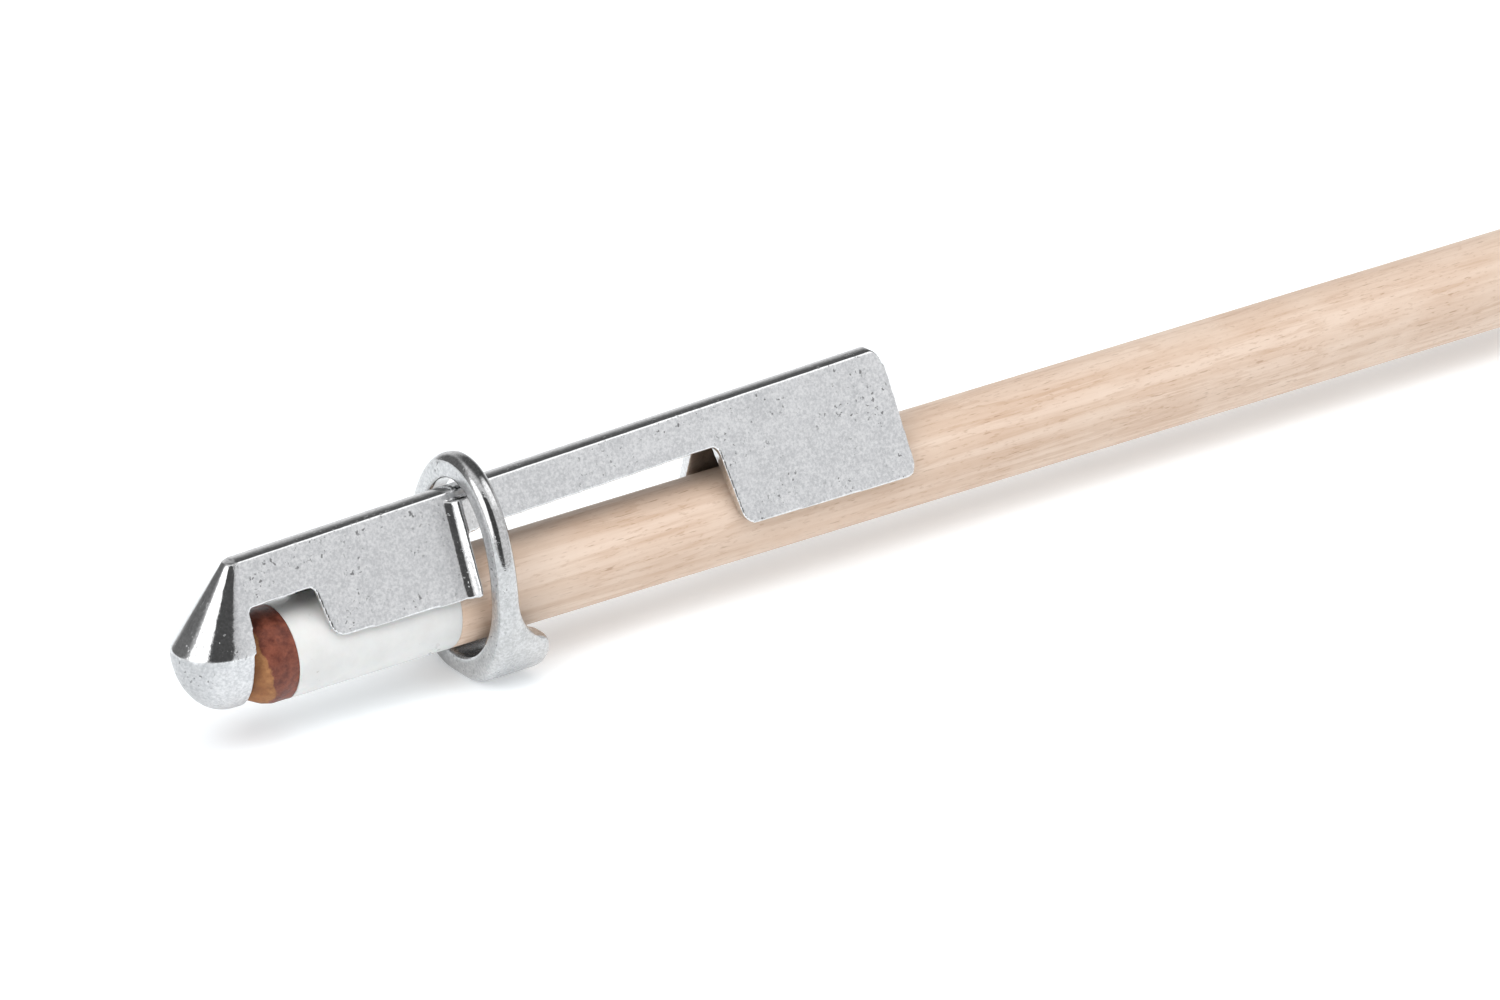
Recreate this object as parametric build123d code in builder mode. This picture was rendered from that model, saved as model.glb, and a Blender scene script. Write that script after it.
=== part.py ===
from build123d import *
import os
from math import cos, radians, sin, tan

# Cue tip clamp in use on the end of a billiard cue. A cast clamp body holds a freshly glued
# leather tip on its ferrule, and an oval slide ring wedges the body against the shaft.
# The X axis is the cue's axis: X = 0 is the ferrule's front face, +X runs to the butt, and
# +Z is the clamp's ridge side. All sizes are in millimetres.

os.makedirs("parts", exist_ok=True)

# ---- driving dimensions: the cue end
CUE_R = 6.5                # 13 mm tip and ferrule
FERRULE_LENGTH = 25.4      # one inch
SHAFT_END = 255.0          # where this length of shaft is sawn off
SHAFT_TAPER = 0.0055       # growth of the shaft's radius per mm behind the ferrule
TENON_R = 3.95
TENON_LENGTH = 20.2
BORE_R = 4.0
BORE_DEPTH = 20.4
TIP_R = 6.45
TIP_SIDE = 2.4             # straight side of the leather tip
TIP_BEVEL = (4.4, 5.8)     # how far forward, and how wide, the middle of the filed bevel is
TIP_SHOULDER_X = 5.95      # how far the bevel reaches
TIP_SHOULDER_R = 4.7
TIP_CROWN = 1.55           # height of the domed crown over the shoulder
EDGE_BREAK = 0.1           # broken edges of the turned ferrule
TENON_CHAMFER = 0.5
END_CHAMFER = 1.0          # sawn end of the shaft
CENTRE_R, CENTRE_DEPTH = 0.5, 5.0    # the lathe's centre hole in the sawn end
CENTRE_MOUTH_R, CENTRE_MOUTH_DEPTH = 1.6, 2.2

# ---- driving dimensions: the clamp body
WALL_ANGLE = radians(24.0)     # each side plate, from the vertical
RIDGE_RISE = 0.0413            # rise of the ridge per mm towards the butt
RIDGE_Z = 15.05                # corners of the ridge above the cue's axis, at X = 0
RIDGE_HALF = 1.2               # half the width of the ridge's top
RIDGE_CROWN = 0.2              # height of its crown over the corners
RIDGE_ROUND = 0.35
RIDGE_END_R = 2.4          # rounding of the ridge's butt end
RIDGE_END_LIFT = 0.15      # keeps the rounding from running out along the crown
CLEARANCE = 0.15               # between the plates' inner faces and the cue
CHANNEL_ANGLE = radians(27)    # each inner face, from the vertical
CHANNEL_ROOT = 0.8             # half the width of the channel's root
STRIP_DEPTH = 5.4              # backbone strip, below the ridge's corners
NOTCH_DEPTH = 5.8              # over the leather tip, below the ridge's corners
CREASE_Z = 3.7                 # where the nose cone meets the dome
NOSE_BACK = -6.45              # plane of the dome's open rim
NOSE_CENTRE = -7.8
NOSE_REACH = 7.0               # from the nose's centre to its front
NOSE_HALF = 6.2
NOSE_LEAN = 0.18            # lean of the nose plates' front edge, hidden in the cone
DOME_DEPTH = 9.37
CUP_R = 5.0                # cup for the tip's crown, in the dome's rim
CUP_DEPTH = 1.6
FRONT_WING = (4.2, 27.7, 2.85)     # front edge, back edge, lower edge
REAR_WING = (70.2, 102.3, 1.75)
FLARE_X = 25.4                 # where the front wing's back edge starts to curl out
FLARE_WIDTH = 2.1              # of the concave curl
FLARE_LIP = 0.45
FLARE_HEIGHTS = (1.15, 1.35, 1.5)     # near the ridge, at the strip's lower edge, at the bottom
FLARE_ROOT = -0.3          # how far the flare's back is sunk into the plate
PLATE_BOTTOM = -4.0        # the plates before they are trimmed to their outline
PRISM_LENGTH = 115.0
OVER_RIDGE = 30.0          # height well above the ridge

# ---- driving dimensions: the slide ring
RING_X = 28.2              # front face, with the ring next to the front wing's flare
RING_THICK = 3.1
FOOT_LENGTH = 9.9
OUTER_HALF, OUTER_MID, OUTER_TOP = 12.1, 1.5, 20.6
INNER_HALF, INNER_MID, INNER_TOP, INNER_BOTTOM = 8.8, 2.5, 17.1, -8.5
FOOT_Z = -11.9             # flat underside
FOOT_FLAT = 1.6            # half the width of the flat underside
FOOT_BACK_R = 2.4          # rounding under the foot's back end
FOOT_LEAN = 1.5            # forward lean of the foot's back end
FOOT_TOP_Z = -4.2
SWEEP_Z, SWEEP_R = -1.4, 7.3   # corner between the upright and the foot's top, and its sweep
RIM_FRONT_R, RIM_BACK_R, RIM_INNER_R = 1.5, 1.2, 0.7


def shaft_radius(x):
    """Radius of the shaft at x, behind the ferrule."""
    return CUE_R + SHAFT_TAPER * (x - FERRULE_LENGTH)


def ridge(x):
    """Height of the ridge's corners at x."""
    return RIDGE_Z + RIDGE_RISE * x


def plate_half(x, z):
    """Half the clamp body's outer width at x and height z."""
    return RIDGE_HALF + (ridge(x) - z) * tan(WALL_ANGLE)


# ---- leather tip, with a filed bevel and a domed crown
TIP_HEIGHT = TIP_SHOULDER_X + TIP_CROWN
CROWN_R = (TIP_SHOULDER_R**2 + TIP_CROWN**2) / (2 * TIP_CROWN)
with BuildPart() as leather_tip:
    with BuildSketch(Plane.XZ):
        with BuildLine():
            Polyline((-TIP_HEIGHT, 0), (0, 0), (0, TIP_R), (-TIP_SIDE, TIP_R))
            bevel_middle = (-TIP_BEVEL[0], TIP_BEVEL[1])
            ThreePointArc((-TIP_SIDE, TIP_R), bevel_middle, (-TIP_SHOULDER_X, TIP_SHOULDER_R))
            RadiusArc((-TIP_SHOULDER_X, TIP_SHOULDER_R), (-TIP_HEIGHT, 0), -CROWN_R)
        make_face()
    revolve(axis=Axis.X)

# ---- ferrule, a capped tube over the shaft's tenon
with BuildPart() as ferrule:
    with BuildSketch(Plane.YZ):
        Circle(CUE_R)
    extrude(amount=FERRULE_LENGTH)
    with BuildSketch(Plane.YZ.offset(FERRULE_LENGTH)):
        Circle(BORE_R)
    extrude(amount=-BORE_DEPTH, mode=Mode.SUBTRACT)
    chamfer(ferrule.edges().filter_by(GeomType.CIRCLE).group_by(SortBy.RADIUS)[-1], EDGE_BREAK)

# ---- maple shaft, with its tenon and the lathe's centre hole in the sawn end
END_R = shaft_radius(SHAFT_END)
TENON_FRONT = FERRULE_LENGTH - TENON_LENGTH
with BuildPart() as cue_shaft:
    with BuildSketch(Plane.XZ):
        with BuildLine():
            Polyline(
                (TENON_FRONT, 0),
                (TENON_FRONT, TENON_R - TENON_CHAMFER),
                (TENON_FRONT + TENON_CHAMFER, TENON_R),
                (FERRULE_LENGTH, TENON_R),
                (FERRULE_LENGTH, CUE_R),
                (SHAFT_END - END_CHAMFER, END_R),
                (SHAFT_END, END_R - END_CHAMFER),
                (SHAFT_END, CENTRE_MOUTH_R),
                (SHAFT_END - CENTRE_MOUTH_DEPTH, CENTRE_R),
                (SHAFT_END - CENTRE_DEPTH, CENTRE_R),
                (SHAFT_END - CENTRE_DEPTH, 0),
                close=True,
            )
        make_face()
    revolve(axis=Axis.X)

# ---- the clamp's nose dome, half an ellipsoid that runs straight back to its open rim
nose_ball = Pos(NOSE_CENTRE, 0, CREASE_Z) * scale(Sphere(1), by=(NOSE_REACH, NOSE_HALF, DOME_DEPTH))
with BuildPart() as dome:
    add(nose_ball)
    split(bisect_by=Plane.XY.offset(CREASE_Z), keep=Keep.BOTTOM)
    split(bisect_by=Plane.YZ.offset(NOSE_CENTRE), keep=Keep.BOTTOM)
    with BuildSketch(Plane.YZ.offset(NOSE_CENTRE)):
        with Locations((0, CREASE_Z)):
            Ellipse(NOSE_HALF, DOME_DEPTH)
        with Locations((0, CREASE_Z + DOME_DEPTH / 2)):
            Rectangle(3 * NOSE_HALF, DOME_DEPTH, mode=Mode.SUBTRACT)
    extrude(amount=NOSE_BACK - NOSE_CENTRE)

# ---- clamp body
PRISM_X = NOSE_CENTRE
RIDGE_LINE = Vector(1, 0, RIDGE_RISE)


def flare_plane(x, z):
    """Plane square to the near side plate's slope, with local y pointing out of the plate."""
    slope = Vector(0, -sin(WALL_ANGLE), -cos(WALL_ANGLE))
    along = RIDGE_LINE + slope * (RIDGE_RISE * cos(WALL_ANGLE))
    return Plane(origin=(x, -plate_half(x, z), z), x_dir=along, z_dir=slope)


def flare_section(z, height, tail):
    """One section of the flare: a cove, a lip, and a tail that falls back to the plate."""
    with BuildSketch(flare_plane(FLARE_X, z)) as section:
        with BuildLine():
            curl = (FLARE_WIDTH**2 + height**2) / (2 * height)
            RadiusArc((0, 0), (FLARE_WIDTH, height), -curl)
            Polyline((FLARE_WIDTH, height), (FLARE_WIDTH + FLARE_LIP, height), (tail, FLARE_ROOT),
                     (0, FLARE_ROOT), (0, 0))
        make_face()
    return section.sketch


FLARE_TOP_Z = ridge(FLARE_X) - 1.1
STRIP_Z = ridge(FLARE_X) - STRIP_DEPTH
FLARE_TOP, FLARE_MIDDLE, FLARE_BOTTOM = FLARE_HEIGHTS
flare_upper = loft([flare_section(FLARE_TOP_Z, FLARE_TOP, 6.0), flare_section(STRIP_Z, FLARE_MIDDLE, 6.0)])
flare_lower = loft([flare_section(STRIP_Z, FLARE_MIDDLE, 2.4),
                    flare_section(FRONT_WING[2] - 1, FLARE_BOTTOM, 2.45)])

with BuildPart() as clamp_body:
    # two side plates under one ridge, as a prism along the ridge
    section_plane = Plane(origin=(PRISM_X, 0, 0), x_dir=(0, 1, 0), z_dir=(1, 0, 0))
    with BuildSketch(section_plane):
        with BuildLine():
            Polyline(
                (RIDGE_HALF, ridge(PRISM_X)),
                (plate_half(PRISM_X, PLATE_BOTTOM), PLATE_BOTTOM),
                (-plate_half(PRISM_X, PLATE_BOTTOM), PLATE_BOTTOM),
                (-RIDGE_HALF, ridge(PRISM_X)),
            )
            ThreePointArc((-RIDGE_HALF, ridge(PRISM_X)), (0, ridge(PRISM_X) + RIDGE_CROWN),
                          (RIDGE_HALF, ridge(PRISM_X)))
        make_face()
    extrude(amount=PRISM_LENGTH, dir=RIDGE_LINE)
    ridge_edges = clamp_body.edges().filter_by(Axis((0, 0, 0), RIDGE_LINE)).group_by(Axis.Z)[-1]
    fillet(ridge_edges, RIDGE_ROUND)
    add([flare_upper, flare_lower])
    add([flare_upper.mirror(Plane.XZ), flare_lower.mirror(Plane.XZ)])

    # the outline of nose plate, front wing, strip and rear wing, seen from the side
    with BuildSketch(Plane.XZ):
        with BuildLine():
            FilletPolyline(
                (NOSE_CENTRE + NOSE_LEAN * (OVER_RIDGE - CREASE_Z), OVER_RIDGE),
                (NOSE_CENTRE, CREASE_Z),
                (-5.95, CREASE_Z),
                (-5.5, ridge(-5.5) - NOTCH_DEPTH),
                (FRONT_WING[0], ridge(FRONT_WING[0]) - NOTCH_DEPTH),
                (FRONT_WING[0] + 1.35, FRONT_WING[2]),
                (FRONT_WING[1], FRONT_WING[2]),
                (FRONT_WING[1] + 0.3, ridge(FRONT_WING[1]) - STRIP_DEPTH),
                (REAR_WING[0], ridge(REAR_WING[0]) - STRIP_DEPTH),
                (REAR_WING[0] + 1.6, REAR_WING[2]),
                (REAR_WING[1], REAR_WING[2]),
                (REAR_WING[1] - 2.1, OVER_RIDGE),
                radius=[0.5, 0.05, 0.05, 0.5, 0.8, 2.0, 1.0, 0.8, 1.2, 2.2, 2.0, 0.5],
                close=True,
            )
        make_face()
        corner_x = REAR_WING[1] - 1.5
        corner_z = ridge(corner_x - RIDGE_END_R) + RIDGE_CROWN + RIDGE_END_LIFT
        with BuildLine():
            RadiusArc((corner_x - RIDGE_END_R, corner_z), (corner_x, corner_z - RIDGE_END_R), RIDGE_END_R)
            Polyline((corner_x, corner_z - RIDGE_END_R), (corner_x + 6, corner_z - RIDGE_END_R),
                     (corner_x + 6, OVER_RIDGE), (corner_x - RIDGE_END_R, OVER_RIDGE),
                     (corner_x - RIDGE_END_R, corner_z))
        make_face(mode=Mode.SUBTRACT)
    extrude(amount=20, both=True, mode=Mode.INTERSECT)

    # the nose: the plates wrap round as half a cone
    cone_height = ridge(NOSE_CENTRE) - CREASE_Z
    with BuildSketch(Plane.XY.offset(CREASE_Z)):
        with BuildLine():
            EllipticalCenterArc((NOSE_CENTRE, 0), NOSE_REACH, NOSE_HALF, 90, arc_size=180)
            Polyline((NOSE_CENTRE, -NOSE_HALF), (NOSE_BACK, -NOSE_HALF), (NOSE_BACK, NOSE_HALF),
                     (NOSE_CENTRE, NOSE_HALF))
        make_face()
    with BuildSketch(Plane.XY.offset(CREASE_Z + cone_height)):
        with BuildLine():
            EllipticalCenterArc((-5.8, 0), RIDGE_HALF, RIDGE_HALF, 90, arc_size=180)
            Polyline((-5.8, -RIDGE_HALF), (-5.5, -RIDGE_HALF), (-5.5, RIDGE_HALF), (-5.8, RIDGE_HALF))
        make_face()
    loft(ruled=True)

    # the dome under the cone, and the cup in it for the tip's crown
    add(dome.part)
    with BuildSketch(Plane.XZ):
        with BuildLine():
            ThreePointArc((NOSE_BACK - CUP_DEPTH, 0), (NOSE_BACK - 0.75 * CUP_DEPTH, 0.54 * CUP_R),
                          (NOSE_BACK, CUP_R))
            Polyline((NOSE_BACK, CUP_R), (NOSE_BACK + 1, CUP_R), (NOSE_BACK + 1, 0),
                     (NOSE_BACK - CUP_DEPTH, 0))
        make_face()
    revolve(axis=Axis.X, mode=Mode.SUBTRACT)

    # the channel inside, which follows the cue's own taper
    for x in (NOSE_BACK, REAR_WING[1] + 4):
        inner = max(shaft_radius(x), CUE_R) + CLEARANCE
        apex = inner / sin(CHANNEL_ANGLE)
        mouth = (apex - 2 * PLATE_BOTTOM) * tan(CHANNEL_ANGLE)
        with BuildSketch(Plane(origin=(x, 0, 0), x_dir=(0, 1, 0), z_dir=(1, 0, 0))):
            with BuildLine():
                Polyline(
                    (CHANNEL_ROOT, apex - CHANNEL_ROOT / tan(CHANNEL_ANGLE)),
                    (mouth, 2 * PLATE_BOTTOM),
                    (-mouth, 2 * PLATE_BOTTOM),
                    (-CHANNEL_ROOT, apex - CHANNEL_ROOT / tan(CHANNEL_ANGLE)),
                    close=True,
                )
            make_face()
    loft(ruled=True, mode=Mode.SUBTRACT)

# ---- slide ring: an oval tube along X, cut from the side to an upright and a foot
RING_BACK = RING_X + RING_THICK
FOOT_BACK = RING_X + FOOT_LENGTH
LOWER_HALF = OUTER_HALF - FOOT_FLAT
LOWER_HEIGHT = OUTER_MID - FOOT_Z


def on_back_of_rim(edge):
    """Whether an edge runs along the back of the ring's outer oval, above the foot's corner."""
    middle = edge @ 0.5
    half_height = INNER_TOP - INNER_MID if middle.Z > INNER_MID else INNER_MID - INNER_BOTTOM
    oval = (middle.Y / INNER_HALF) ** 2 + ((middle.Z - INNER_MID) / half_height) ** 2
    curved = edge.geom_type != GeomType.LINE and oval > 1.2
    return curved and edge.bounding_box().min.X > RING_X + 3 and middle.Z > FOOT_TOP_Z


with BuildPart() as slide_ring:
    with BuildSketch(Plane.YZ.offset(RING_X)):
        with BuildLine():
            EllipticalCenterArc((0, OUTER_MID), OUTER_HALF, OUTER_TOP - OUTER_MID, 0, arc_size=180)
            EllipticalCenterArc((-FOOT_FLAT, OUTER_MID), LOWER_HALF, LOWER_HEIGHT, 180, arc_size=90)
            Line((-FOOT_FLAT, FOOT_Z), (FOOT_FLAT, FOOT_Z))
            EllipticalCenterArc((FOOT_FLAT, OUTER_MID), LOWER_HALF, LOWER_HEIGHT, 270, arc_size=90)
        make_face()
        with BuildLine():
            EllipticalCenterArc((0, INNER_MID), INNER_HALF, INNER_TOP - INNER_MID, 0, arc_size=180)
            EllipticalCenterArc((0, INNER_MID), INNER_HALF, INNER_MID - INNER_BOTTOM, 180, arc_size=180)
        make_face(mode=Mode.SUBTRACT)
    extrude(amount=FOOT_LENGTH)
    with BuildSketch(Plane.XZ):
        with BuildLine():
            foot_top = (FOOT_BACK - FOOT_LEAN, FOOT_TOP_Z)
            FilletPolyline((RING_X, FOOT_Z), (FOOT_BACK, FOOT_Z), foot_top, radius=FOOT_BACK_R)
            FilletPolyline(foot_top, (RING_BACK, SWEEP_Z), (RING_BACK, OVER_RIDGE), radius=SWEEP_R)
            Polyline((RING_BACK, OVER_RIDGE), (RING_X, OVER_RIDGE), (RING_X, FOOT_Z))
        make_face()
    extrude(amount=20, both=True, mode=Mode.INTERSECT)
    fillet(slide_ring.faces().sort_by(Axis.X)[0].outer_wire().edges(), RIM_FRONT_R)
    fillet(slide_ring.faces().sort_by(Axis.X)[0].inner_wires()[0].edges(), RIM_INNER_R)
    fillet(slide_ring.edges().filter_by(on_back_of_rim), RIM_BACK_R)

pieces = {
    "leather_tip": leather_tip,
    "ferrule": ferrule,
    "cue_shaft": cue_shaft,
    "clamp_body": clamp_body,
    "slide_ring": slide_ring,
}
for node_name, piece in pieces.items():
    piece.part.label = node_name
    export_step(piece.part, f"parts/{node_name}.step")
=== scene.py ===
import math

import bmesh
import bpy
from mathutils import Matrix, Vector, noise


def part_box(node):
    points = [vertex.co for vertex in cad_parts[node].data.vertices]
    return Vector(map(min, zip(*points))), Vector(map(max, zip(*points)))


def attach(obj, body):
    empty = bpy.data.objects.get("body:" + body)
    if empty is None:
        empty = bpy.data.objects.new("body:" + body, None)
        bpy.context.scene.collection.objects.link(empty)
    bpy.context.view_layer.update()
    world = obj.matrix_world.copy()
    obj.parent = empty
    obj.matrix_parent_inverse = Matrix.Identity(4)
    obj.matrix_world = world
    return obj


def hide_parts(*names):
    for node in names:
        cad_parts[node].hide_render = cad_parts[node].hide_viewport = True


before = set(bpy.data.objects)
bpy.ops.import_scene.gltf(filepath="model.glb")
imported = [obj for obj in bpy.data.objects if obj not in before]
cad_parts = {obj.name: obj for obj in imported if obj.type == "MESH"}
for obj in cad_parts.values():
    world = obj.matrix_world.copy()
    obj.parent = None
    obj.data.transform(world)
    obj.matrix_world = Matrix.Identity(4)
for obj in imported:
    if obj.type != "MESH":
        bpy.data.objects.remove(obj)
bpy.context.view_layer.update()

MM = 0.001
FLOOR_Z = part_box("slide_ring")[0].z
SHAFT_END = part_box("cue_shaft")[1].x
FERRULE_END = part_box("ferrule")[1].x
CUE_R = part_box("ferrule")[1].z

# sizes of the CAD part that its boxes don't give
WALL = math.radians(24.0)
TIP_SIDE = 2.4 * MM
TIP_SHOULDER_R = 4.7 * MM
TIP_CROWN = 1.55 * MM
# centre and radius of the arc through the CAD's three points of the filed bevel
BEVEL_X, BEVEL_Z, BEVEL_R = -1.376 * MM, -0.1035 * MM, 6.633 * MM
END_CHAMFER = 1.0 * MM
# the centre hole's mouth is 0.05 mm wider here than in the CAD
CENTRE_MOUTH_R, CENTRE_MOUTH_DEPTH = 1.65 * MM, 2.2 * MM
CENTRE_R, CENTRE_DEPTH = 0.5 * MM, 5 * MM


# ---------------------------------------------------------------- mesh helpers
def add_object(name, mesh):
    obj = bpy.data.objects.new(name, mesh)
    bpy.context.scene.collection.objects.link(obj)
    return obj


def apply_modifiers(obj):
    """Replaces obj's mesh by its modified one."""
    bpy.context.view_layer.update()
    depsgraph = bpy.context.evaluated_depsgraph_get()
    mesh = bpy.data.meshes.new_from_object(obj.evaluated_get(depsgraph))
    old = obj.data
    obj.modifiers.clear()
    obj.data = mesh
    bpy.data.meshes.remove(old)


def cast_copy(name, node, voxel, smooth):
    """A closed copy of a CAD node with the softened edges of a plated casting."""
    obj = add_object(name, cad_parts[node].data.copy())
    obj.data.materials.clear()
    mesh = bmesh.new()
    mesh.from_mesh(obj.data)
    bmesh.ops.remove_doubles(mesh, verts=mesh.verts, dist=0.002 * MM)
    mesh.to_mesh(obj.data)
    mesh.free()
    remesh = obj.modifiers.new("cast", "REMESH")
    remesh.mode = "VOXEL"
    remesh.voxel_size = voxel
    remesh.use_smooth_shade = True
    soften = obj.modifiers.new("soften", "SMOOTH")
    soften.factor = 0.5
    soften.iterations = smooth
    apply_modifiers(obj)
    obj.data.polygons.foreach_set("use_smooth", [True] * len(obj.data.polygons))
    return obj


def lathe(name, profile, steps, shape=None):
    """A closed solid turned about X. profile is (x, r) from one end's centre to the other's."""
    verts, faces = [], []
    rings = profile[1:-1]
    for x, r in rings:
        for k in range(steps):
            turn = 2 * math.pi * k / steps
            point = Vector((x, r * math.sin(turn), r * math.cos(turn)))
            verts.append(shape(point) if shape else point)
    first, last = len(verts), len(verts) + 1
    verts += [Vector((profile[0][0], 0, 0)), Vector((profile[-1][0], 0, 0))]
    for j in range(len(rings) - 1):
        for k in range(steps):
            a, b = j * steps + k, j * steps + (k + 1) % steps
            faces.append((a, b, b + steps, a + steps))
    end = (len(rings) - 1) * steps
    for k in range(steps):
        faces.append((first, (k + 1) % steps, k))
        faces.append((last, end + k, end + (k + 1) % steps))
    mesh = bpy.data.meshes.new(name)
    mesh.from_pydata(verts, [], faces)
    mesh.polygons.foreach_set("use_smooth", [True] * len(mesh.polygons))
    mesh.update()
    check = bmesh.new()
    check.from_mesh(mesh)
    bmesh.ops.recalc_face_normals(check, faces=check.faces)
    check.to_mesh(mesh)
    check.free()
    return add_object(name, mesh)


def arc(cx, cr, radius, start, end, steps):
    """Points (x, r) along an arc, angles in degrees from +x towards +r."""
    points = []
    for k in range(steps + 1):
        angle = math.radians(start + (end - start) * k / steps)
        points.append((cx + radius * math.cos(angle), cr + radius * math.sin(angle)))
    return points


def round_off(obj, weight, iterations):
    """Rounds obj where weight(point) is above 0, the more the nearer it is to 1."""
    group = obj.vertex_groups.new(name="round_off")
    for vertex in obj.data.vertices:
        share = weight(vertex.co)
        if share > 0:
            group.add([vertex.index], min(share, 1.0), "REPLACE")
    soften = obj.modifiers.new("round_off", "SMOOTH")
    soften.factor = 0.5
    soften.iterations = iterations
    soften.vertex_group = "round_off"
    apply_modifiers(obj)


# ---------------------------------------------------------------- node helpers
class Shader:
    """A material and short ways to add nodes to it."""

    def __init__(self, name, **sockets):
        self.material = bpy.data.materials.new(name)
        self.material.use_nodes = True
        self.tree = self.material.node_tree
        self.bsdf = self.tree.nodes["Principled BSDF"]
        for key, value in sockets.items():
            self.bsdf.inputs[key.replace("_", " ")].default_value = value
        self.place = self.node("ShaderNodeTexCoord").outputs["Object"]

    def node(self, kind, **settings):
        made = self.tree.nodes.new(kind)
        for key, value in settings.items():
            setattr(made, key, value)
        return made

    def put(self, socket, value):
        if isinstance(value, (int, float, tuple)):
            socket.default_value = value
        else:
            self.tree.links.new(value, socket)

    def stretched(self, x, y, z):
        """Object coordinates scaled on each axis."""
        mapping = self.node("ShaderNodeMapping")
        self.put(mapping.inputs["Vector"], self.place)
        mapping.inputs["Scale"].default_value = (x, y, z)
        return mapping.outputs["Vector"]

    def noise(self, scale, detail=4.0, rough=0.55, at=None, distort=0.0):
        made = self.node("ShaderNodeTexNoise")
        self.put(made.inputs["Vector"], self.place if at is None else at)
        made.inputs["Scale"].default_value = scale
        made.inputs["Detail"].default_value = detail
        made.inputs["Roughness"].default_value = rough
        made.inputs["Distortion"].default_value = distort
        return made.outputs["Fac"]

    def math(self, operation, a, b=0.0, c=0.0):
        made = self.node("ShaderNodeMath", operation=operation)
        for socket, value in zip(made.inputs, (a, b, c)):
            self.put(socket, value)
        return made.outputs[0]

    def span(self, value, low, high, to_low=0.0, to_high=1.0, smooth=True):
        kind = "SMOOTHSTEP" if smooth else "LINEAR"
        made = self.node("ShaderNodeMapRange", interpolation_type=kind)
        self.put(made.inputs["Value"], value)
        made.inputs["From Min"].default_value = low
        made.inputs["From Max"].default_value = high
        made.inputs["To Min"].default_value = to_low
        made.inputs["To Max"].default_value = to_high
        return made.outputs["Result"]

    def mix(self, factor, a, b):
        made = self.node("ShaderNodeMix", data_type="RGBA")
        self.put(made.inputs["Factor"], factor)
        self.put(made.inputs["A"], a)
        self.put(made.inputs["B"], b)
        return made.outputs["Result"]

    def axis(self, name):
        """One coordinate of the object's own frame."""
        if not hasattr(self, "axes"):
            self.axes = self.node("ShaderNodeSeparateXYZ")
            self.put(self.axes.inputs["Vector"], self.place)
        return self.axes.outputs[name]

    def facing(self, direction):
        """Cosine between the surface's own normal and a direction of the object's frame."""
        if not hasattr(self, "normal"):
            self.normal = self.node("ShaderNodeTexCoord").outputs["Normal"]
        made = self.node("ShaderNodeVectorMath", operation="DOT_PRODUCT")
        self.put(made.inputs[0], self.normal)
        made.inputs[1].default_value = direction
        return made.outputs["Value"]

    def bump(self, height, strength, distance, under=None):
        made = self.node("ShaderNodeBump")
        self.put(made.inputs["Height"], height)
        made.inputs["Strength"].default_value = strength
        made.inputs["Distance"].default_value = distance
        if under is not None:
            self.put(made.inputs["Normal"], under)
        return made.outputs["Normal"]

    def out(self, **sockets):
        for key, value in sockets.items():
            self.put(self.bsdf.inputs[key.replace("_", " ")], value)
        return self.material


def grey(value):
    return (value, value, value, 1.0)


# ---------------------------------------------------------------- materials
# about the outward normal of the far side plate
PLATE_OUT = (-0.0155, math.cos(WALL), math.sin(WALL))


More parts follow.
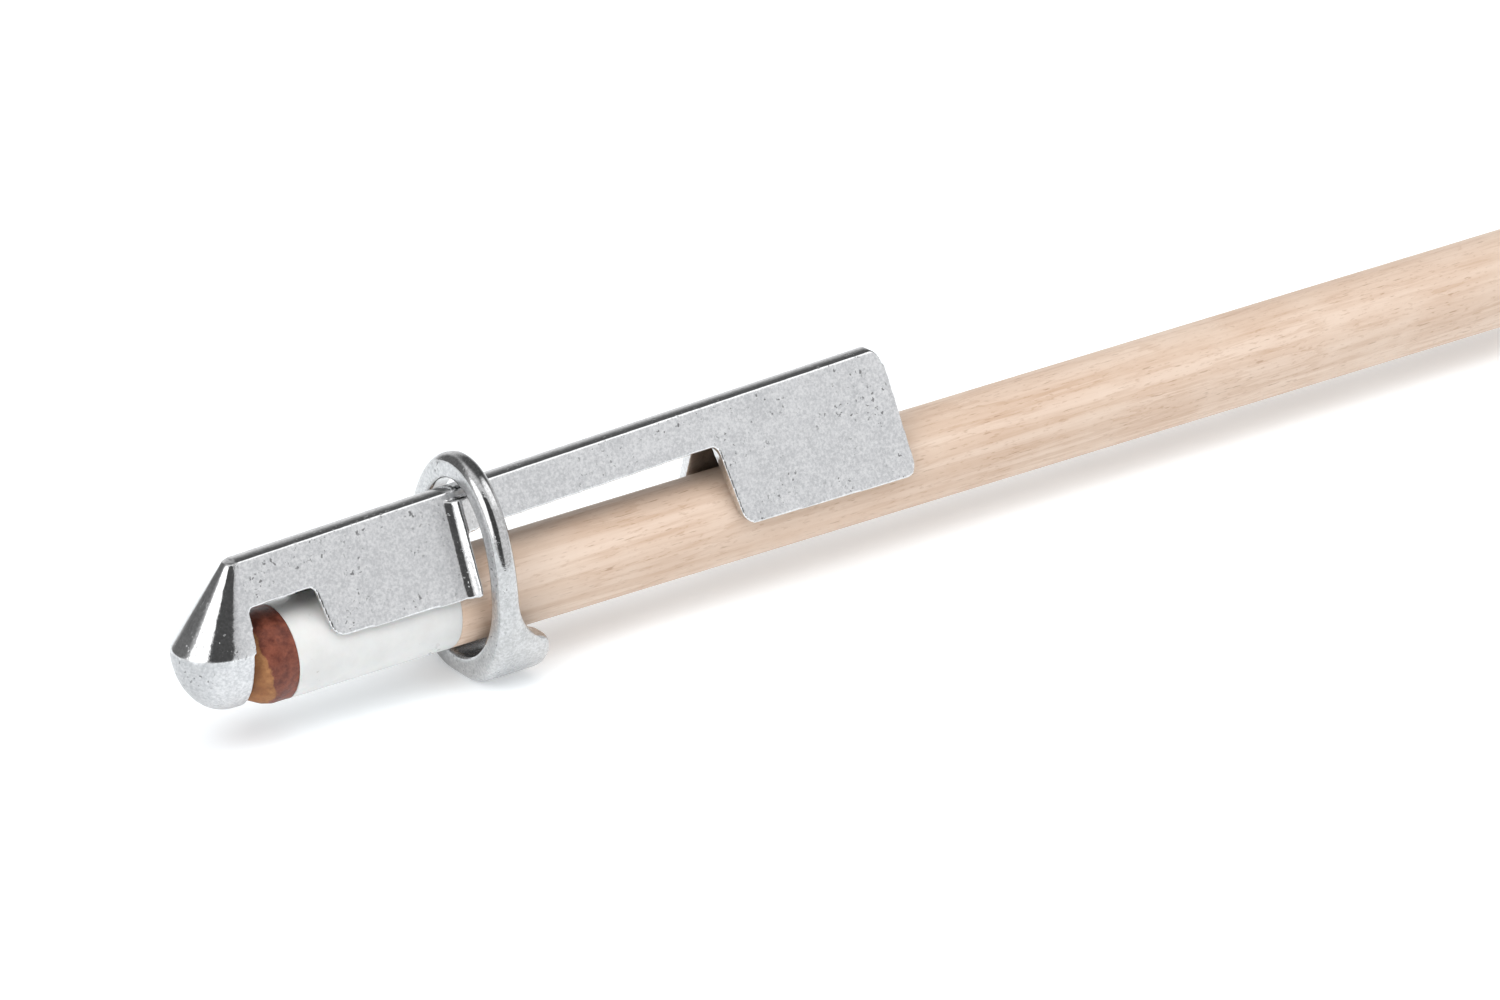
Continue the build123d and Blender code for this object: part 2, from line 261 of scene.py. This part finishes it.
def plated_zinc(name, flats):
    """Bright plated die casting: satin mottled flats with small pits, polished curves and rims."""
    s = Shader(name, Metallic=1.0)
    blotch = s.noise(190, 4, 0.6)
    cloud = s.noise(650, 5, 0.65)
    fine = s.noise(2300, 4, 0.7)
    grain = s.noise(4200, 2, 0.6)
    cluster = s.span(s.noise(170, 3, 0.6), 0.48, 0.60)
    pits = s.math("MULTIPLY", s.span(s.noise(1500, 2, 0.6), 0.625, 0.67), cluster)
    uneven = s.math("SUBTRACT", cloud, 0.5)
    mottle = s.math("MULTIPLY_ADD", fine, 0.8, s.math("MULTIPLY", cloud, 0.32))
    mottle = s.span(s.math("MULTIPLY_ADD", blotch, 0.18, mottle), 0.55, 0.76, smooth=False)
    if flats:
        # the side plates and the nose dome are satin, the rest is polished
        far = s.facing(PLATE_OUT)
        near = s.facing((PLATE_OUT[0], -PLATE_OUT[1], PLATE_OUT[2]))
        edge = s.math("MULTIPLY_ADD", uneven, 0.05, s.math("MAXIMUM", near, far))
        plates = s.span(edge, 0.975, 0.992)
        height = s.math("MULTIPLY_ADD", uneven, 2.0 * MM, s.axis("Z"))
        below_crease = s.span(height, 3.3 * MM, 4.0 * MM, 1.0, 0.0)
        on_nose = s.span(s.axis("X"), -6.3 * MM, -6.0 * MM, 1.0, 0.0)
        dome = s.math("MULTIPLY", below_crease, on_nose)
        satin = s.math("MAXIMUM", plates, dome)
        tone = s.mix(mottle, (0.525, 0.53, 0.54, 1), (0.73, 0.73, 0.735, 1))
        bright = s.mix(mottle, grey(0.60), grey(0.74))
        # painted shade: the nose dome is painted darker, up to about a quarter of the way to
        # near-black, where it faces forward and up
        shade = s.span(s.facing((-0.94, 0.0, 0.34)), 0.15, 0.75, 0.97, 0.76)
        tone = s.mix(dome, tone, s.mix(shade, grey(0.05), tone))
    else:
        # the foot and the front face are satin, the rim is polished
        height = s.math("MULTIPLY_ADD", uneven, 5.0 * MM, s.axis("Z"))
        foot = s.span(height, -9.5 * MM, -6.0 * MM, 0.85, 0.0)
        front = s.span(s.facing((-1, 0, 0)), 0.93, 0.985)
        satin = s.math("MAXIMUM", foot, front)
        tone = s.mix(mottle, (0.49, 0.495, 0.50, 1), (0.69, 0.69, 0.69, 1))
        bright = s.mix(mottle, grey(0.44), grey(0.60))
        # painted shade: the ring's low far side (towards +Y, below -4 mm) is painted up to 80 %
        # towards near-black on both finishes
        painted_shade_by_height = s.span(s.axis("Z"), -8 * MM, -4 * MM, 0.8, 0.0)
        under = s.math("MULTIPLY", s.span(s.axis("Y"), -1 * MM, 7 * MM), painted_shade_by_height)
        tone = s.mix(under, tone, grey(0.08))
        bright = s.mix(under, bright, grey(0.08))
    base = s.mix(satin, bright, tone)
    pit_tone = s.math("MULTIPLY", pits, s.math("MULTIPLY_ADD", satin, 0.55, 0.2))
    base = s.mix(pit_tone, base, grey(0.10))
    satin_rough = s.span(cloud, 0.3, 0.7, 0.30, 0.42)
    polish = s.span(fine, 0.35, 0.7, 0.05, 0.14)
    rough = s.math("MULTIPLY_ADD", satin, s.math("SUBTRACT", satin_rough, polish), polish)
    wave = s.bump(blotch, 0.14, 0.30 * MM)
    dents = s.bump(s.math("MULTIPLY", pits, -1.0), 0.35, 0.10 * MM, wave)
    orange = s.bump(cloud, 0.11, 0.10 * MM, dents)
    sand = s.bump(grain, 0.16, 0.03 * MM, orange)
    return s.out(Base_Color=base, Roughness=rough, Normal=sand)


def tip_leather():
    """Pressed leather: burnished red-brown side, dry tan suede bevel and crown."""
    s = Shader("tip_leather", Specular_IOR_Level=0.35)
    wavy = s.noise(260, 4, 0.6)
    coarse = s.noise(620, 5, 0.7)
    fibre = s.noise(1700, 5, 0.75, at=s.stretched(2.2, 1, 1))
    seam = s.math("MULTIPLY_ADD", s.math("SUBTRACT", wavy, 0.5), 2.6 * MM, s.axis("X"))
    seam = s.math("MULTIPLY_ADD", s.axis("Z"), 0.18, seam)
    tan = s.span(seam, -4.05 * MM, -3.75 * MM, 1.0, 0.0)
    deep = s.span(seam, -5.6 * MM, -4.2 * MM, 1.0, 0.0)
    dark = s.mix(s.span(coarse, 0.3, 0.7), (0.088, 0.020, 0.012, 1), (0.24, 0.070, 0.040, 1))
    light = s.mix(s.span(coarse, 0.3, 0.7), (0.21, 0.085, 0.032, 1), (0.40, 0.188, 0.078, 1))
    light = s.mix(s.math("MULTIPLY", deep, 0.45), light, (0.25, 0.095, 0.035, 1))
    base = s.mix(tan, dark, light)
    base = s.mix(s.span(fibre, 0.60, 0.76, 0.0, 0.6), base, (0.06, 0.018, 0.012, 1))
    rough = s.math("MULTIPLY_ADD", tan, 0.28, s.span(coarse, 0.3, 0.7, 0.36, 0.55))
    relief = s.bump(s.math("MULTIPLY_ADD", fibre, 0.6, coarse), 0.45, 0.18 * MM)
    return s.out(Base_Color=base, Roughness=rough, Normal=relief)


def ferrule_plastic():
    """Ivory-white plastic, turned and polished, with faint smudges and turning lines."""
    s = Shader("ferrule_plastic", Specular_IOR_Level=0.5, Subsurface_Weight=0.12,
               Subsurface_Scale=1.5 * MM)
    smudge = s.noise(260, 4, 0.6)
    lines = s.noise(1.0, 2, 0.5, at=s.stretched(5200, 60, 60))
    speck = s.noise(900, 2, 0.5)
    base = s.mix(s.span(smudge, 0.3, 0.7), (0.645, 0.64, 0.625, 1), (0.70, 0.695, 0.68, 1))
    base = s.mix(s.span(speck, 0.72, 0.78, 0.0, 0.6), base, (0.42, 0.38, 0.33, 1))
    rough = s.span(smudge, 0.25, 0.75, 0.26, 0.42)
    return s.out(Base_Color=base, Roughness=rough, Normal=s.bump(lines, 0.08, 0.02 * MM))


def maple():
    """Sanded hard maple: pale, with growth bands along the cue, ray flecks and soft figure."""
    s = Shader("shaft_maple", Specular_IOR_Level=0.35)
    warp = s.noise(1.0, 3, 0.5, at=s.stretched(24, 60, 60))
    bands = s.noise(1.0, 5, 0.6, at=s.stretched(9, 240, 300), distort=0.8)
    streaks = s.noise(1.0, 4, 0.65, at=s.stretched(60, 1100, 1100))
    flecks = s.noise(1.0, 3, 0.6, at=s.stretched(620, 2600, 2600))
    pores = s.noise(1.0, 2, 0.5, at=s.stretched(330, 3400, 3400))
    flame = s.noise(1.0, 3, 0.6, at=s.stretched(80, 60, 60))
    ring_lines = s.math("FRACT", s.math("MULTIPLY_ADD", bands, 3.0, s.math("MULTIPLY", warp, 2.5)))
    base = s.mix(s.span(bands, 0.3, 0.7), (0.583, 0.422, 0.313, 1), (0.705, 0.561, 0.457, 1))
    base = s.mix(s.span(ring_lines, 0.84, 0.97, 0.0, 0.30), base, (0.461, 0.291, 0.183, 1))
    base = s.mix(s.span(streaks, 0.48, 0.70, 0.0, 0.50), base, (0.496, 0.331, 0.226, 1))
    base = s.mix(s.span(flecks, 0.56, 0.70, 0.0, 0.45), base, (0.426, 0.265, 0.165, 1))
    base = s.mix(s.span(pores, 0.64, 0.74, 0.0, 0.6), base, (0.322, 0.191, 0.113, 1))
    base = s.mix(s.span(flame, 0.4, 0.75, 0.0, 0.32), base, (0.757, 0.635, 0.531, 1))
    rough = s.span(streaks, 0.3, 0.7, 0.42, 0.55)
    relief = s.bump(streaks, 0.10, 0.03 * MM)
    return s.out(Base_Color=base, Roughness=rough, Normal=relief)


# ---------------------------------------------------------------- the clamp and its ring
CLAMP_VOXEL, RING_VOXEL = 0.19 * MM, 0.16 * MM
FOOT_X, FOOT_BLEND = 33.0 * MM, 1.5 * MM    # behind FOOT_X the ring's foot is rounded more

casting = cast_copy("clamp_casting", "clamp_body", CLAMP_VOXEL, 10)
casting.data.materials.append(plated_zinc("plated_casting", True))
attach(casting, "clamp")
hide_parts("clamp_body")

ring = cast_copy("ring_casting", "slide_ring", RING_VOXEL, 8)
round_off(ring, lambda point: (point.x - FOOT_X) / FOOT_BLEND, 50)
ring.data.materials.append(plated_zinc("plated_ring", False))
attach(ring, "ring")
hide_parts("slide_ring")


# ---------------------------------------------------------------- the cue's end
def tip_wear(point):
    """Slight dents in a pressed leather side."""
    out = Vector((0, point.y, point.z))
    if out.length < 5 * MM:
        return point
    wobble = noise.fractal(point * 420, 1.0, 2.0, 3)
    return point + out.normalized() * min(0.0, 0.10 * MM * wobble - 0.04 * MM)


tip_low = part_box("leather_tip")[0].x
tip_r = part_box("leather_tip")[1].z
crown_r = TIP_SHOULDER_R ** 2 / (2 * TIP_CROWN) + TIP_CROWN / 2
crown_reach = math.degrees(math.asin(TIP_SHOULDER_R / crown_r))
profile = [(tip_low, 0)]
profile += arc(tip_low + crown_r, 0, crown_r, 180 - 0.8, 180 - crown_reach, 14)
# the bevel's arc stops short at both ends, which breaks the corners there
profile += arc(BEVEL_X, BEVEL_Z, BEVEL_R, 132.8, 99.5, 12)
profile += [(k * 0.2 * MM - TIP_SIDE, tip_r) for k in range(12)]
profile += [(-0.04 * MM, tip_r), (0, tip_r - 0.06 * MM), (0, 0.5 * tip_r), (0, 0)]
tip = lathe("tip_leather_disc", profile, 160, tip_wear)
tip.data.materials.append(tip_leather())
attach(tip, "cue")
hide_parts("leather_tip")

edge = 0.12 * MM    # rounding of the ferrule's edges
profile = [(0.0, 0), (0.0, 0.5 * CUE_R), (0.0, CUE_R - edge)]
profile += arc(edge, CUE_R - edge, edge, 170, 90, 5)
profile += [(k * FERRULE_END / 26, CUE_R) for k in range(1, 26)]
profile += arc(FERRULE_END - edge, CUE_R - edge, edge, 90, 10, 5)
profile += [(FERRULE_END, CUE_R - 2 * edge), (FERRULE_END, 0.5 * CUE_R), (FERRULE_END, 0)]
collar = lathe("ferrule_collar", profile, 128)
collar.data.materials.append(ferrule_plastic())
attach(collar, "cue")
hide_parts("ferrule")

end_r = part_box("cue_shaft")[1].z
profile = [(FERRULE_END, 0), (FERRULE_END, 0.5 * CUE_R), (FERRULE_END, CUE_R - 0.03 * MM)]
profile += [(FERRULE_END + 0.05 * MM, CUE_R)]
length = SHAFT_END - END_CHAMFER - FERRULE_END
growth = end_r - CUE_R
profile += [(FERRULE_END + length * k / 60, CUE_R + growth * k / 60) for k in range(1, 61)]
profile += [(SHAFT_END - 0.9 * MM, end_r - 0.06 * MM), (SHAFT_END - 0.06 * MM, end_r - 0.92 * MM)]
profile += [(SHAFT_END, end_r - 1.06 * MM), (SHAFT_END, 4 * MM), (SHAFT_END, CENTRE_MOUTH_R)]
profile += [(SHAFT_END - CENTRE_MOUTH_DEPTH, CENTRE_R), (SHAFT_END - CENTRE_DEPTH, 0.46 * MM)]
profile += [(SHAFT_END - CENTRE_DEPTH, 0)]
shaft = lathe("maple_shaft", profile, 128)
shaft.data.materials.append(maple())
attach(shaft, "cue")
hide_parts("cue_shaft")

# ---------------------------------------------------------------- floor
FLOOR_HALF = 6.0
corners = [(-1, -1), (1, -1), (1, 1), (-1, 1)]
floor_mesh = bpy.data.meshes.new("studio_floor")
floor_mesh.from_pydata(
    [(x * FLOOR_HALF, y * FLOOR_HALF, FLOOR_Z) for x, y in corners], [], [(0, 1, 2, 3)])
floor = add_object("studio_floor", floor_mesh)
paper = Shader("studio_floor", Roughness=1.0, Specular_IOR_Level=0.0)
paper.bsdf.inputs["Emission Color"].default_value = (1, 1, 1, 1)
paper.bsdf.inputs["Emission Strength"].default_value = 0.32
shade = paper.mix(paper.noise(40, 2), (0.77, 0.80, 0.82, 1), (0.78, 0.81, 0.83, 1))
floor.data.materials.append(paper.out(Base_Color=shade))

# ---------------------------------------------------------------- studio light
scene = bpy.context.scene
scene.view_settings.view_transform = "Standard"
scene.view_settings.look = "None"
world = bpy.data.worlds.new("studio")
scene.world = world
world.use_nodes = True
sky = world.node_tree
sky.nodes.clear()


def sky_node(kind, **settings):
    made = sky.nodes.new(kind)
    for key, value in settings.items():
        setattr(made, key, value)
    return made


def sky_math(operation, a, b=0.0, c=0.0):
    made = sky_node("ShaderNodeMath", operation=operation)
    for socket, value in zip(made.inputs, (a, b, c)):
        if isinstance(value, (int, float)):
            socket.default_value = value
        else:
            sky.links.new(value, socket)
    return made.outputs[0]


def towards(azimuth, elevation):
    """Unit vector towards a part of the studio; azimuth 0 is -Y and 90 is +X."""
    a, e = math.radians(azimuth), math.radians(elevation)
    return (math.sin(a) * math.cos(e), -math.cos(a) * math.cos(e), math.sin(e))


coordinates = sky_node("ShaderNodeTexCoord").outputs["Generated"]


def lobe(azimuth, elevation, inner, outer):
    """1 within inner degrees of a direction, falling to 0 at outer degrees."""
    dot = sky_node("ShaderNodeVectorMath", operation="DOT_PRODUCT")
    sky.links.new(coordinates, dot.inputs[0])
    dot.inputs[1].default_value = towards(azimuth, elevation)
    ramp = sky_node("ShaderNodeMapRange", interpolation_type="SMOOTHSTEP")
    sky.links.new(dot.outputs["Value"], ramp.inputs["Value"])
    ramp.inputs["From Min"].default_value = math.cos(math.radians(outer))
    ramp.inputs["From Max"].default_value = math.cos(math.radians(inner))
    return ramp.outputs["Result"]


level = 0.95
# (azimuth, elevation, inner, outer, brightness it moves towards, strength)
for azimuth, elevation, inner, outer, target, strength in (
    (112, 54, 17, 52, 0.13, 1.0),
    (-145, 25, 20, 45, 0.20, 1.0),
    (-23, 30, 22, 30, 0.10, 1.0),
    (-23, 6, 18, 28, 0.10, 0.9),
    (-77, 25, 21, 25, 2.20, 1.0),
    (54, 44, 10, 22, 1.75, 1.0),
    (37, 17, 13, 22, 1.04, 1.0),
):
    mask = sky_math("MULTIPLY", lobe(azimuth, elevation, inner, outer), strength)
    if isinstance(level, float):
        level = sky_math("MULTIPLY_ADD", mask, target - level, level)
    else:
        level = sky_math("MULTIPLY_ADD", mask, sky_math("SUBTRACT", target, level), level)

background = sky_node("ShaderNodeBackground")
sky.links.new(level, background.inputs["Strength"])
background.inputs["Color"].default_value = (0.985, 0.99, 1.0, 1)
backdrop = sky_node("ShaderNodeBackground")
backdrop.inputs["Color"].default_value = (1, 1, 1, 1)
backdrop.inputs["Strength"].default_value = 1.0
path = sky_node("ShaderNodeLightPath")
choose = sky_node("ShaderNodeMixShader")
sky.links.new(path.outputs["Is Camera Ray"], choose.inputs[0])
sky.links.new(background.outputs[0], choose.inputs[1])
sky.links.new(backdrop.outputs[0], choose.inputs[2])
output = sky_node("ShaderNodeOutputWorld")
sky.links.new(choose.outputs[0], output.inputs["Surface"])


def softbox(name, azimuth, elevation, distance, size, power):
    """A round light that mirrors don't show."""
    light = bpy.data.lights.new(name, "AREA")
    light.shape = "DISK"
    light.size = size
    light.energy = power
    lamp = bpy.data.objects.new(name, light)
    scene.collection.objects.link(lamp)
    target = Vector((0.1, 0, 0))
    lamp.location = target + Vector(towards(azimuth, elevation)) * distance
    lamp.rotation_euler = (target - lamp.location).to_track_quat("-Z", "Y").to_euler()
    lamp.visible_glossy = False


softbox("key_light", -64, 50, 1.6, 1.2, 10.0)
softbox("top_light", 60, 82, 1.6, 1.6, 10.0)

# ---------------------------------------------------------------- camera
camera_data = bpy.data.cameras.new("camera")
camera_data.lens = 100.0
camera_data.sensor_width = 36.0
camera_data.sensor_fit = "HORIZONTAL"
camera_data.clip_start = 0.01
camera = bpy.data.objects.new("camera", camera_data)
scene.collection.objects.link(camera)
camera.location = (-0.2495, -0.4316, 0.2372)
back = Vector(towards(-37.24, 23.54))
camera.rotation_euler = (-back).to_track_quat("-Z", "Y").to_euler()
scene.camera = camera
